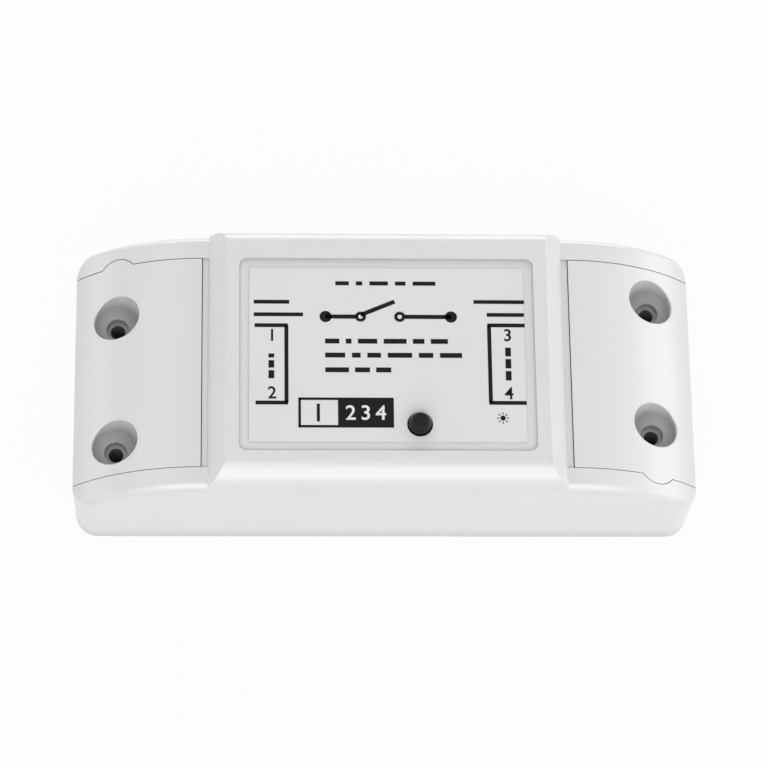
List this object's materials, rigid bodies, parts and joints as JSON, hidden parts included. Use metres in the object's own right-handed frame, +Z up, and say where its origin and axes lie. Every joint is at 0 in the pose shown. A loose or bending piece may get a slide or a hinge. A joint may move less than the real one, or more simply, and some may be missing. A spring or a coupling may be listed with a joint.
{
  "type": "smart relay module",
  "caption": "In-line mains relay module: a white box with a raised, labelled face and push button, and at each end a curved cover over a cable entry and screw terminals.",
  "frame": {"origin": "centre of the underside, on the surface it rests on", "axes": "+X along the mains cable from input to output, +Y away from the button's side, +Z up out of the labelled face"},
  "size_m": [0.088, 0.038, 0.0244],
  "materials": {
    "shell_plastic": "smooth white, lightly polished",
    "tray_plastic": "smooth white, lightly polished",
    "label_film": "white film with black print",
    "button_plastic": "black, moulded",
    "switch_plastic": "black, moulded",
    "board_laminate": "green lacquered laminate",
    "terminal_plastic": "green moulded",
    "sheet_steel": "bright zinc plated",
    "tinned_copper": "tinned, bright",
    "contact_brass": "bright",
    "relay_plastic": "blue moulded",
    "bobbin_plastic": "black moulded",
    "enamelled_wire": "copper wire with clear enamel",
    "ferrite": "dull dark grey",
    "winding_tape": "yellow tape",
    "capacitor_can": "bright can",
    "film_case": "yellow moulded case",
    "resistor_lacquer": "green lacquer",
    "varistor_resin": "blue dipped resin",
    "chip_resin": "black moulded resin",
    "lamp_lens": "milky clear"
  },
  "bodies": {
    "module": {"base_tray": "tray_plastic", "bridge_rectifier": "chip_resin", "button_switch_dome": "sheet_steel", "button_switch_housing": "switch_plastic", "button_switch_legs": "tinned_copper", "button_switch_plate": "sheet_steel", "circuit_board": "board_laminate", "driver_transistor": "chip_resin", "face_label": "label_film", "film_capacitor": "film_case", "flyback_diode": "chip_resin", "fuse_resistor": "resistor_lacquer", "indicator_lamp": "lamp_lens", "input_contact_strips": "contact_brass", "input_terminal_housing": "terminal_plastic", "mains_capacitor": "capacitor_can", "output_contact_strips": "contact_brass", "output_terminal_housing": "terminal_plastic", "radio_module_board": "board_laminate", "radio_module_shield": "sheet_steel", "regulator_chip": "chip_resin", "relay_base": "relay_plastic", "relay_bobbin": "bobbin_plastic", "relay_case": "relay_plastic", "relay_coil": "enamelled_wire", "relay_core": "sheet_steel", "relay_pins": "tinned_copper", "relay_rest_contact": "contact_brass", "relay_working_contact": "contact_brass", "relay_yoke": "sheet_steel", "supply_capacitor": "capacitor_can", "supply_inductor": "ferrite", "top_shell": "shell_plastic", "transformer_bobbin": "bobbin_plastic", "transformer_core": "ferrite", "transformer_winding": "winding_tape", "varistor": "varistor_resin"},
    "input_cover": {"end_cover_left": "shell_plastic"},
    "output_cover": {"end_cover_right": "shell_plastic"},
    "button": {"button_stem": "button_plastic"},
    "armature": {"relay_armature": "sheet_steel", "relay_moving_contact": "contact_brass"},
    "input_screw_1": {"input_terminal_screw_1": "sheet_steel"},
    "input_cage_1": {"input_clamp_cage_1": "sheet_steel"},
    "input_screw_2": {"input_terminal_screw_2": "sheet_steel"},
    "input_cage_2": {"input_clamp_cage_2": "sheet_steel"},
    "output_screw_1": {"output_terminal_screw_1": "sheet_steel"},
    "output_cage_1": {"output_clamp_cage_1": "sheet_steel"},
    "output_screw_2": {"output_terminal_screw_2": "sheet_steel"},
    "output_cage_2": {"output_clamp_cage_2": "sheet_steel"}
  },
  "joints": [
    {"name": "input_cover_lift", "type": "slide", "parent": "module", "child": "input_cover", "axis": [0, 0, 1], "range_m": [0, 0.015]},
    {"name": "output_cover_lift", "type": "slide", "parent": "module", "child": "output_cover", "axis": [0, 0, 1], "range_m": [0, 0.015]},
    {"name": "button_press", "type": "slide", "parent": "module", "child": "button", "axis": [0, 0, -1], "range_m": [0, 0.00025], "stiffness_N_per_m": 4000},
    {"name": "armature_tilt", "type": "hinge", "parent": "module", "child": "armature", "pos_m": [0.0043, 0.0069, 0.01705], "axis": [0, 1, 0], "range_deg": [0, 3], "stiffness_Nm_per_rad": 0.02, "springref_deg": -2.86},
    {"name": "input_screw_1_turn", "type": "hinge", "parent": "module", "child": "input_screw_1", "pos_m": [-0.03005, -0.00381, 0.015], "axis": [0, 0, -1], "range_deg": [0, 1080]},
    {"name": "input_cage_1_rise", "type": "slide", "parent": "module", "child": "input_cage_1", "axis": [0, 0, 1], "range_m": [0, 0.0015]},
    {"name": "input_screw_2_turn", "type": "hinge", "parent": "module", "child": "input_screw_2", "pos_m": [-0.03005, 0.00381, 0.015], "axis": [0, 0, -1], "range_deg": [0, 1080]},
    {"name": "input_cage_2_rise", "type": "slide", "parent": "module", "child": "input_cage_2", "axis": [0, 0, 1], "range_m": [0, 0.0015]},
    {"name": "output_screw_1_turn", "type": "hinge", "parent": "module", "child": "output_screw_1", "pos_m": [0.03005, 0.00381, 0.015], "axis": [0, 0, -1], "range_deg": [0, 1080]},
    {"name": "output_cage_1_rise", "type": "slide", "parent": "module", "child": "output_cage_1", "axis": [0, 0, 1], "range_m": [0, 0.0015]},
    {"name": "output_screw_2_turn", "type": "hinge", "parent": "module", "child": "output_screw_2", "pos_m": [0.03005, -0.00381, 0.015], "axis": [0, 0, -1], "range_deg": [0, 1080]},
    {"name": "output_cage_2_rise", "type": "slide", "parent": "module", "child": "output_cage_2", "axis": [0, 0, 1], "range_m": [0, 0.0015]}
  ],
  "couplings": [
    {"joint": "input_screw_1_turn", "follows": "input_cage_1_rise", "rad_per_m": 12566},
    {"joint": "input_screw_2_turn", "follows": "input_cage_2_rise", "rad_per_m": 12566},
    {"joint": "output_screw_1_turn", "follows": "output_cage_1_rise", "rad_per_m": 12566},
    {"joint": "output_screw_2_turn", "follows": "output_cage_2_rise", "rad_per_m": 12566}
  ]
}
